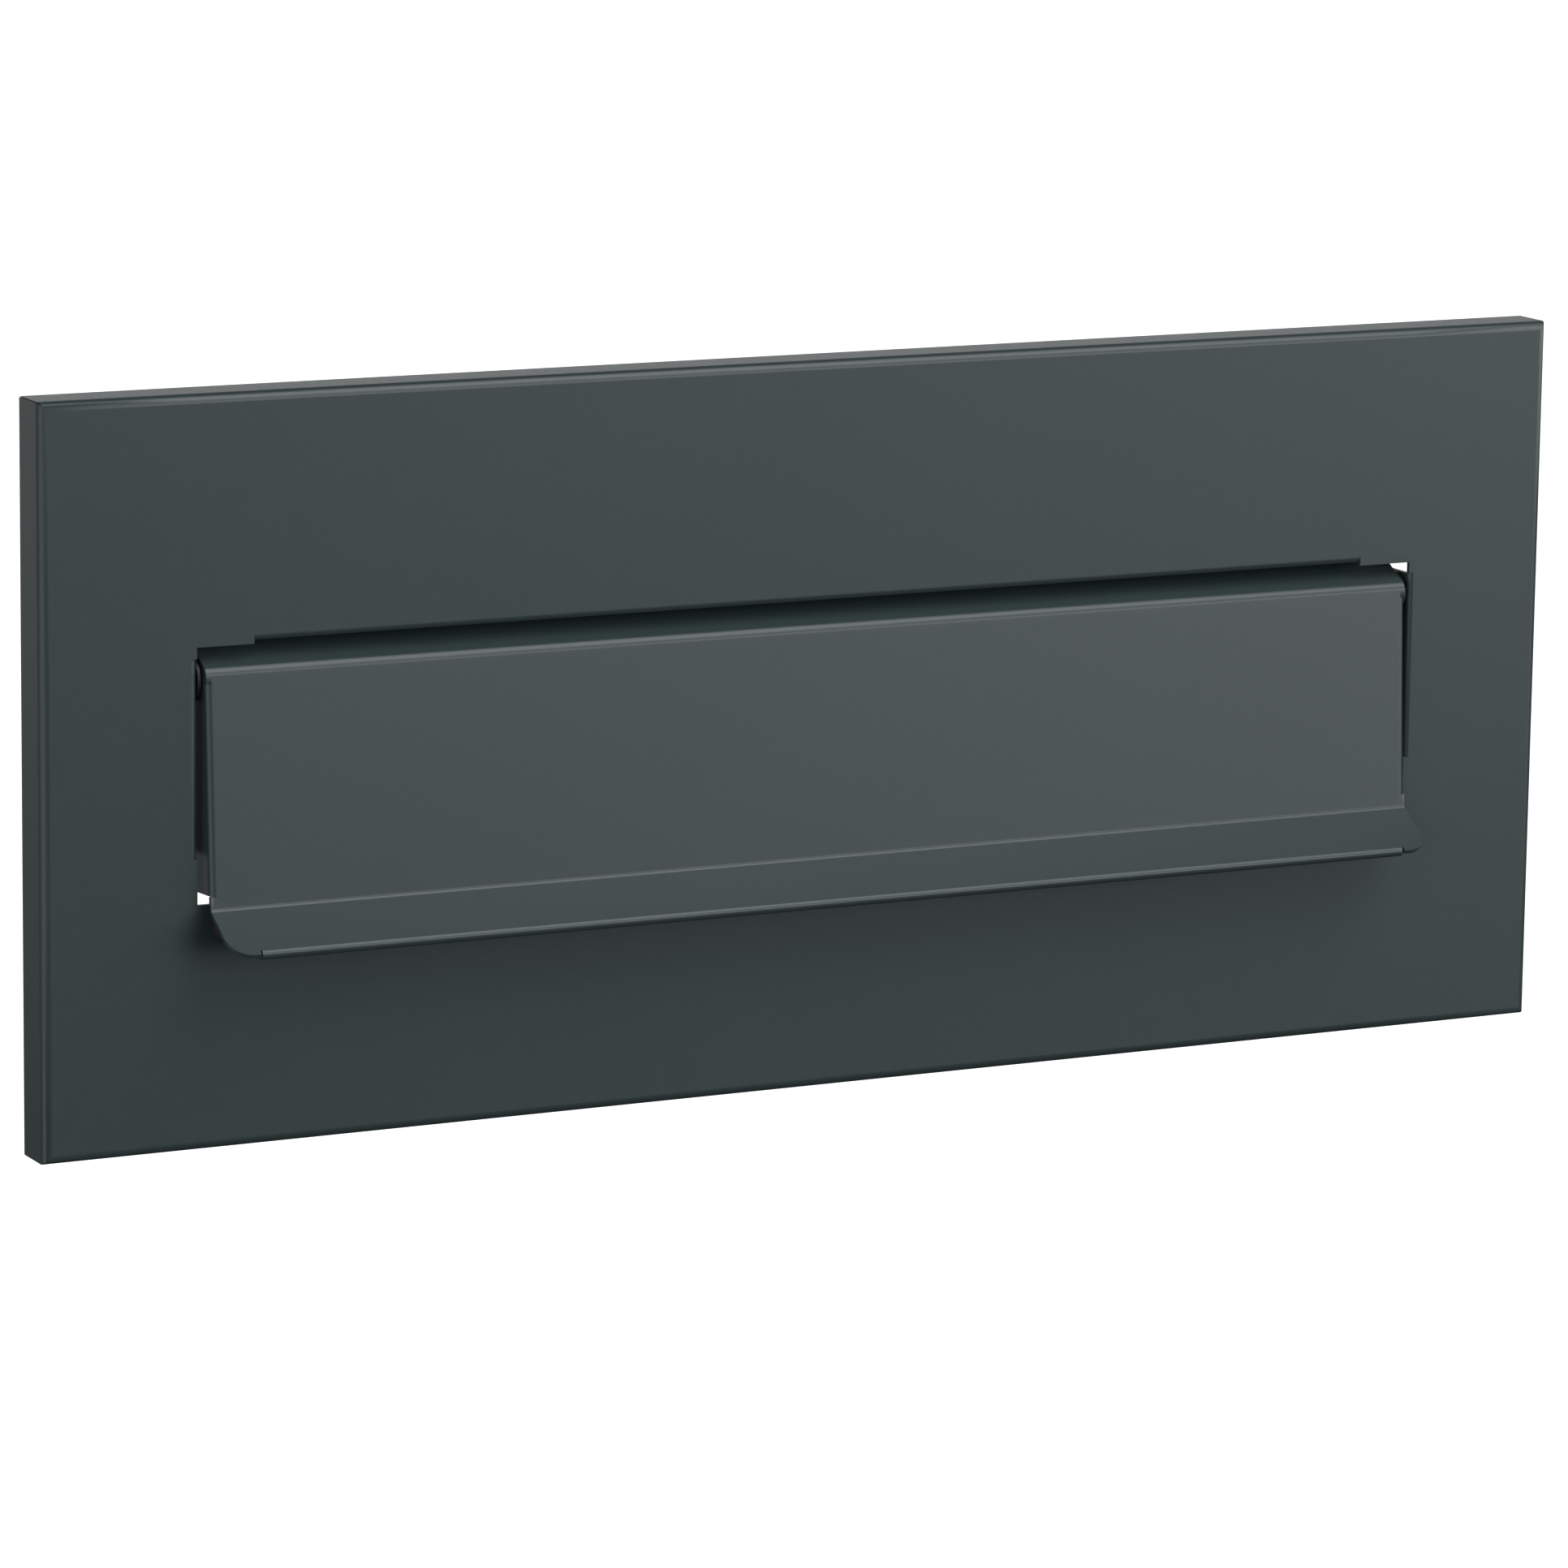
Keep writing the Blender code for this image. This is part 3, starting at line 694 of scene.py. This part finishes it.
def make_springs(wire_look):
    """Springs with an inner leg anchored in the panel and an outer leg along the flap's cap."""
    for side, sign in LEFT_RIGHT:
        spring = tube("wire_spring_" + side, spring_route(sign), WIRE, 12)
        smooth(spring, 40)
        spring.data.materials.append(wire_look)
        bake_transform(spring)
        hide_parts("torsion_spring_" + side)


def threaded_rod(name, radius, start, end, foot_radius, foot_end):
    """A weld stud: a flat foot, then a helical thread with a chamfered end."""
    sides = 36
    per_turn = ((0.0, 1.0), (0.3, 0.0), (0.5, 0.0), (0.8, 1.0))  # (share of pitch, crest)
    turns = int((end - foot_end) / THREAD_PITCH) + 4
    bm = bmesh.new()
    origin = foot_end - 2 * THREAD_PITCH
    chamfer = 0.6 * MM
    lines = []
    for turn in range(turns):
        for share, crest in per_turn:
            line = []
            for k in range(sides + 1):
                angle = math.tau * k / sides
                y = origin + THREAD_PITCH * (turn + share + k / sides)
                r = radius - THREAD_DEPTH * (1 - crest)
                r = min(r, radius - max(0, y - (end - chamfer)))
                line.append(bm.verts.new((r * math.cos(angle), y, r * math.sin(angle))))
            lines.append(line)
    for a, b in zip(lines, lines[1:]):
        for k in range(sides):
            bm.faces.new((a[k], a[k + 1], b[k + 1], b[k]))
    bmesh.ops.remove_doubles(bm, verts=bm.verts, dist=1e-7)
    for height, outward in ((foot_end, -1), (end, 1)):
        cut = bmesh.ops.bisect_plane(
            bm,
            geom=bm.verts[:] + bm.edges[:] + bm.faces[:],
            plane_co=(0, height, 0),
            plane_no=(0, outward, 0),
            clear_outer=True,
        )
        rim = [e for e in cut["geom_cut"] if isinstance(e, bmesh.types.BMEdge)]
        bmesh.ops.edgeloop_fill(bm, edges=rim)
    bmesh.ops.recalc_face_normals(bm, faces=bm.faces)
    thread = new_object(name, bm)
    foot = lathe(
        "foot",
        soften([(0, start), (foot_radius, start), (foot_radius, foot_end), (0, foot_end)],
               {1: 0.1 * MM, 2: 0.2 * MM}),
        48,
        False,
    )
    return thread, foot


def make_nut(name, middle_y):
    """A hexagon nut with 30 degree chamfers and a countersunk bore."""
    apothem, half, bore = 4.0 * MM, 2.0 * MM, FIXING_BORE
    flat_radius = 0.95 * apothem
    sides = 72
    bm = bmesh.new()
    loops = []
    for k in range(sides):
        angle = math.tau * k / sides
        off = (angle + math.pi / 6) % (math.pi / 3) - math.pi / 6
        corner = apothem / math.cos(off)
        drop = (corner - flat_radius) * math.tan(math.radians(30))
        ring = [
            (bore, -half + 0.35 * MM),
            (bore + 0.35 * MM, -half),
            (flat_radius, -half),
            (corner, -half + drop),
            (corner, half - drop),
            (flat_radius, half),
            (bore + 0.35 * MM, half),
            (bore, half - 0.35 * MM),
        ]
        cos, sin = math.cos(angle), math.sin(angle)
        loops.append([bm.verts.new((r * cos, middle_y + y, r * sin)) for r, y in ring])
    return join_round(name, bm, loops)


def make_fixings(zinc):
    base = -PANEL_DEPTH + SHEET + WELD_GAP
    places = [(x, z) for z in (1, -1) for x in (-1, 1)]
    for number, (side_x, side_z) in enumerate(places, 1):
        spot = Matrix.Translation((side_x * STUD_X, 0, side_z * STUD_Z))
        stud, foot = threaded_rod(
            "stud_%d" % number, STUD_RADIUS, base, STUD_END, FOOT_RADIUS, base + FOOT_THICKNESS
        )
        foot.name = "stud_foot_%d" % number
        washer = lathe(
            "plain_washer_%d" % number,
            soften(
                [
                    (FIXING_BORE, WASHER_FRONT),
                    (WASHER_RADIUS, WASHER_FRONT),
                    (WASHER_RADIUS, WASHER_BACK),
                    (FIXING_BORE, WASHER_BACK),
                ],
                {0: 0.08 * MM, 1: 0.2 * MM, 2: 0.2 * MM, 3: 0.08 * MM},
            ),
            56,
            True,
        )
        nut = make_nut("nut_%d" % number, NUT_MIDDLE)
        spin = Matrix.Rotation(math.radians(NUT_TURNS[number - 1]), 4, "Y")
        for obj, node in (
            (stud, "weld_stud_"),
            (foot, "weld_stud_"),
            (washer, "washer_"),
            (nut, "hex_nut_"),
        ):
            obj.data.transform(spot @ (spin if obj is nut else Matrix.Identity(4)))
            smooth(obj, 28)
            obj.data.materials.append(zinc)
            finish_piece(obj, "panel", "zinc_plate", "%s%d" % (node, number))


# ---------------------------------------------------------------- finishes


class Shading:
    """A material's node tree, with short calls for the nodes used here."""

    def __init__(self, name):
        self.material = bpy.data.materials.new(name)
        self.material.use_nodes = True
        self.tree = self.material.node_tree
        self.shader = self.tree.nodes["Principled BSDF"]
        self.place = self.node("ShaderNodeTexCoord").outputs["Object"]

    def node(self, kind, **values):
        made = self.tree.nodes.new(kind)
        for key, value in values.items():
            setattr(made, key, value)
        return made

    def link(self, a, b):
        self.tree.links.new(a, b)

    def set(self, name, value):
        self.shader.inputs[name].default_value = value

    def feed(self, output, name):
        self.link(output, self.shader.inputs[name])

    def stretched(self, scale):
        mapping = self.node("ShaderNodeMapping")
        mapping.inputs["Scale"].default_value = scale
        self.link(self.place, mapping.inputs["Vector"])
        return mapping.outputs["Vector"]

    def noise(self, per_metre, detail=2.0, rough=0.5, where=None):
        """Noise with about this many bumps a metre."""
        made = self.node("ShaderNodeTexNoise")
        made.inputs["Scale"].default_value = per_metre
        made.inputs["Detail"].default_value = detail
        made.inputs["Roughness"].default_value = rough
        self.link(where or self.place, made.inputs["Vector"])
        return made.outputs["Fac"]

    def ranged(self, value, low, high, to_low, to_high):
        made = self.node("ShaderNodeMapRange", interpolation_type="SMOOTHSTEP")
        for name, number in zip(
            ("From Min", "From Max", "To Min", "To Max"), (low, high, to_low, to_high)
        ):
            made.inputs[name].default_value = number
        self.link(value, made.inputs["Value"])
        return made.outputs["Result"]

    def blend(self, share, a, b):
        """A colour between a and b; either may be a colour or a socket."""
        made = self.node("ShaderNodeMix", data_type="RGBA")
        self.link(share, made.inputs["Factor"])
        for socket, value in ((made.inputs[6], a), (made.inputs[7], b)):
            if isinstance(value, tuple):
                socket.default_value = (*value, 1)
            else:
                self.link(value, socket)
        return made.outputs[2]

    def mottled(self, value, low, high, a, b):
        """A colour that runs from a to b as a value runs from low to high."""
        return self.blend(self.ranged(value, low, high, 0, 1), a, b)

    def bumps(self, *layers):
        """Stacks (height socket, depth in metres) layers into the surface's normal."""
        normal = None
        for height, depth in layers:
            made = self.node("ShaderNodeBump")
            made.inputs["Strength"].default_value = 1.0
            made.inputs["Distance"].default_value = depth
            self.link(height, made.inputs["Height"])
            if normal:
                self.link(normal, made.inputs["Normal"])
            normal = made.outputs["Normal"]
        self.feed(normal, "Normal")

    def edges(self, low, high):
        """1 on outer edges and 0 on flats."""
        point = self.node("ShaderNodeNewGeometry").outputs["Pointiness"]
        return self.ranged(point, low, high, 0, 1)


def powder_coat():
    look = Shading("anthracite_powder_coat")
    look.set("IOR", 1.5)
    tone = look.noise(22, 3, 0.6)
    fine = look.noise(1500, 2, 0.5)
    base = look.mottled(tone, 0.35, 0.65, (0.0375, 0.0565, 0.058), (0.039, 0.0585, 0.060))
    grain = look.mottled(fine, 0.3, 0.7, (0.035, 0.0535, 0.055), (0.042, 0.0615, 0.063))
    mixed = look.node("ShaderNodeMix", data_type="RGBA")
    mixed.inputs["Factor"].default_value = 0.4
    look.link(base, mixed.inputs[6])
    look.link(grain, mixed.inputs[7])
    look.feed(mixed.outputs[2], "Base Color")
    look.feed(look.ranged(look.noise(1100, 2, 0.5), 0.3, 0.7, 0.29, 0.33), "Roughness")
    peel = look.noise(620, 1.5, 0.45)
    look.bumps((peel, 0.010 * MM), (fine, 0.003 * MM))
    return look.material


def stainless():
    look = Shading("drawn_stainless_steel")
    look.set("Metallic", 1.0)
    lines = look.noise(1, 3, 0.6, look.stretched((40, 2500, 2500)))
    rings = look.noise(1, 2, 0.5, look.stretched((1800, 60, 60)))
    look.feed(look.mottled(lines, 0.3, 0.7, (0.50, 0.50, 0.49), (0.62, 0.62, 0.61)), "Base Color")
    look.feed(look.ranged(rings, 0.3, 0.7, 0.22, 0.36), "Roughness")
    look.bumps((lines, 0.004 * MM), (rings, 0.003 * MM))
    return look.material


def zinc_plate():
    look = Shading("bright_zinc")
    look.set("Metallic", 1.0)
    cloud = look.noise(260, 4, 0.6)
    grain = look.noise(2600, 2, 0.5)
    tint = look.mottled(cloud, 0.35, 0.65, (0.55, 0.57, 0.60), (0.64, 0.64, 0.62))
    # The colour turns lighter towards outer edges, where the mesh is pointiest
    edge_lightened_tint = look.blend(look.edges(0.52, 0.64), tint, (0.75, 0.76, 0.77))
    look.feed(edge_lightened_tint, "Base Color")
    look.feed(look.ranged(grain, 0.3, 0.7, 0.28, 0.42), "Roughness")
    look.bumps((grain, 0.004 * MM), (cloud, 0.010 * MM))
    return look.material


def spring_steel():
    look = Shading("drawn_spring_wire")
    look.set("Metallic", 1.0)
    streaks = look.noise(1900, 3, 0.6)
    cloud = look.noise(240, 3, 0.6)
    tint = look.mottled(cloud, 0.35, 0.65, (0.27, 0.27, 0.28), (0.38, 0.37, 0.36))
    look.feed(tint, "Base Color")
    look.feed(look.ranged(streaks, 0.3, 0.7, 0.26, 0.42), "Roughness")
    look.bumps((streaks, 0.003 * MM))
    return look.material


def black_nylon():
    look = Shading("black_nylon")
    look.set("IOR", 1.53)
    grain = look.noise(2200, 2, 0.5)
    cloud = look.noise(300, 3, 0.5)
    tint = look.mottled(cloud, 0.35, 0.65, (0.010, 0.010, 0.011), (0.016, 0.016, 0.017))
    look.feed(tint, "Base Color")
    look.feed(look.ranged(cloud, 0.3, 0.7, 0.42, 0.52), "Roughness")
    look.bumps((grain, 0.006 * MM))
    return look.material


def black_rubber():
    look = Shading("black_rubber")
    grain = look.noise(1600, 3, 0.6)
    cloud = look.noise(350, 3, 0.6)
    tint = look.mottled(cloud, 0.35, 0.65, (0.014, 0.014, 0.014), (0.024, 0.023, 0.022))
    look.feed(tint, "Base Color")
    look.feed(look.ranged(grain, 0.3, 0.7, 0.70, 0.85), "Roughness")
    look.bumps((grain, 0.012 * MM))
    return look.material


# ---------------------------------------------------------------- studio


def place_camera():
    """The photograph's viewpoint: 26.9 degrees to the left and 10.9 degrees above."""
    across = math.cos(VIEW_ABOVE)
    away = Vector(
        (-math.sin(VIEW_AROUND) * across, -math.cos(VIEW_AROUND) * across, math.sin(VIEW_ABOVE))
    )
    level = Vector((math.cos(VIEW_AROUND), -math.sin(VIEW_AROUND), 0))
    upright = away.cross(level)
    right = level * math.cos(VIEW_ROLL) + upright * math.sin(VIEW_ROLL)
    up = upright * math.cos(VIEW_ROLL) - level * math.sin(VIEW_ROLL)
    aim = Vector((VIEW_AIM[0] * PANEL_WIDTH, -PANEL_DEPTH, VIEW_AIM[1] * PANEL_WIDTH))
    data = bpy.data.cameras.new("camera")
    data.sensor_width = SENSOR_WIDTH
    data.lens = FOCAL_PIXELS / IMAGE_PIXELS * SENSOR_WIDTH
    data.clip_start = 0.05
    camera = bpy.data.objects.new("camera", data)
    frame_matrix = Matrix((right, up, away)).transposed().to_4x4()
    frame_matrix.translation = aim + away * VIEW_DISTANCE * PANEL_WIDTH
    camera.matrix_world = frame_matrix
    bpy.context.scene.collection.objects.link(camera)
    bpy.context.scene.camera = camera


def soft_box(name, place, target, size, watts):
    data = bpy.data.lights.new(name, "AREA")
    data.shape = "RECTANGLE"
    data.size, data.size_y = size
    data.energy = watts
    light = bpy.data.objects.new(name, data)
    light.location = place
    light.rotation_euler = (Vector(target) - Vector(place)).to_track_quat("-Z", "Y").to_euler()
    bpy.context.scene.collection.objects.link(light)


def make_world():
    """White to the camera; to the object, a dim room with paler patches around it."""
    world = bpy.data.worlds.new("studio")
    bpy.context.scene.world = world
    world.use_nodes = True
    tree = world.node_tree
    tree.nodes.clear()

    def node(kind, **values):
        made = tree.nodes.new(kind)
        for key, value in values.items():
            setattr(made, key, value)
        return made

    def number(operation, a, b):
        made = node("ShaderNodeMath", operation=operation)
        for socket, value in zip(made.inputs, (a, b)):
            if isinstance(value, (int, float)):
                socket.default_value = value
            else:
                tree.links.new(value, socket)
        return made.outputs[0]

    def ramp(value, low, high, to_low, to_high):
        made = node("ShaderNodeMapRange", interpolation_type="SMOOTHSTEP")
        tree.links.new(value, made.inputs["Value"])
        for name, level in zip(
            ("From Min", "From Max", "To Min", "To Max"), (low, high, to_low, to_high)
        ):
            made.inputs[name].default_value = level
        return made.outputs["Result"]

    def towards(direction):
        made = node("ShaderNodeVectorMath", operation="DOT_PRODUCT")
        tree.links.new(place, made.inputs[0])
        made.inputs[1].default_value = Vector(direction).normalized()
        return made.outputs["Value"]

    place = node("ShaderNodeTexCoord").outputs["Generated"]
    up = towards((0, 0, 1))
    # A dim surround, a little brighter in front and below, and dimmer overhead
    front_wall = ramp(towards((0.3, -1, 0)), -0.2, 0.7, 0.03, 0.05)
    room = number("MULTIPLY", front_wall, ramp(up, -0.5, -0.1, 1.6, 1.0))
    room = number("MULTIPLY", room, ramp(up, 0.5, 0.85, 1.0, 0.5))
    # A pale wall behind the plate, fading out below level and overhead
    rear = ramp(towards((0.1, 1, 0)), 0.3, 0.9, 0, 0.65)
    rear = number("MULTIPLY", rear, ramp(up, 0.35, 0.7, 1, 0))
    rear = number("MULTIPLY", rear, ramp(up, -0.3, -0.05, 0, 1))
    # A broad glow on the left, and a narrower one a little forward of it
    left = ramp(towards((-1, -0.25, 0.15)), 0.2, 0.9, 0, 0.30)
    room = number("ADD", room, left)
    flank = ramp(towards((-0.927, -0.375, 0)), 0.80, 0.94, 0, 1.0)
    room = number("ADD", room, flank)
    # A window high on the front right, dimmer towards its top
    window = ramp(towards((0.579, -0.579, 0.574)), 0.68, 0.80, 0, 3.9)
    window = number("MULTIPLY", window, ramp(up, 0.1, 0.45, 1, 0.15))
    # A low band on the front left
    low_band = number("MULTIPLY", ramp(up, 0.0, 0.1, 0, 1), ramp(up, 0.2, 0.4, 1, 0))
    low_band = number("MULTIPLY", low_band, ramp(towards((-0.5, -0.8, 0)), 0.2, 0.8, 0, 0.5))
    room = number("ADD", room, low_band)
    level = number("ADD", room, number("ADD", rear, window))
    room_light = node("ShaderNodeBackground")
    tree.links.new(level, room_light.inputs["Strength"])
    backdrop = node("ShaderNodeBackground")
    backdrop.inputs["Strength"].default_value = 1.0
    backdrop.inputs["Color"].default_value = (1, 1, 1, 1)
    mix = node("ShaderNodeMixShader")
    tree.links.new(node("ShaderNodeLightPath").outputs["Is Camera Ray"], mix.inputs["Fac"])
    tree.links.new(room_light.outputs[0], mix.inputs[1])
    tree.links.new(backdrop.outputs[0], mix.inputs[2])
    tree.links.new(mix.outputs[0], node("ShaderNodeOutputWorld").inputs["Surface"])


def make_floor():
    """A pale floor well below the plate, which hangs as if on a stand."""
    bm = bmesh.new()
    bmesh.ops.create_grid(bm, x_segments=1, y_segments=1, size=FLOOR_HALF)
    floor = new_object("floor", bm)
    floor.location = (0, 0, FLOOR_HEIGHT)
    look = bpy.data.materials.new("pale_floor")
    look.use_nodes = True
    shader = look.node_tree.nodes["Principled BSDF"]
    shader.inputs["Base Color"].default_value = (0.9, 0.9, 0.9, 1)
    shader.inputs["Roughness"].default_value = 0.9
    shader.inputs["Emission Color"].default_value = (1, 1, 1, 1)
    shader.inputs["Emission Strength"].default_value = 1.0
    floor.data.materials.append(look)
    floor.visible_diffuse = False
    floor.visible_glossy = False


def main():
    place_camera()
    make_world()
    make_floor()
    soft_box("key", (0.60, -0.86, 1.35), (0, 0, 0), (1.2, 1.2), 13.3)
    zinc = zinc_plate()
    make_sheet_metal(powder_coat())
    make_rod(stainless())
    make_hinge_hardware(black_nylon(), zinc)
    make_buffers(black_rubber())
    make_springs(spring_steel())
    make_fixings(zinc)
    bpy.context.scene.view_settings.view_transform = "Standard"


main()
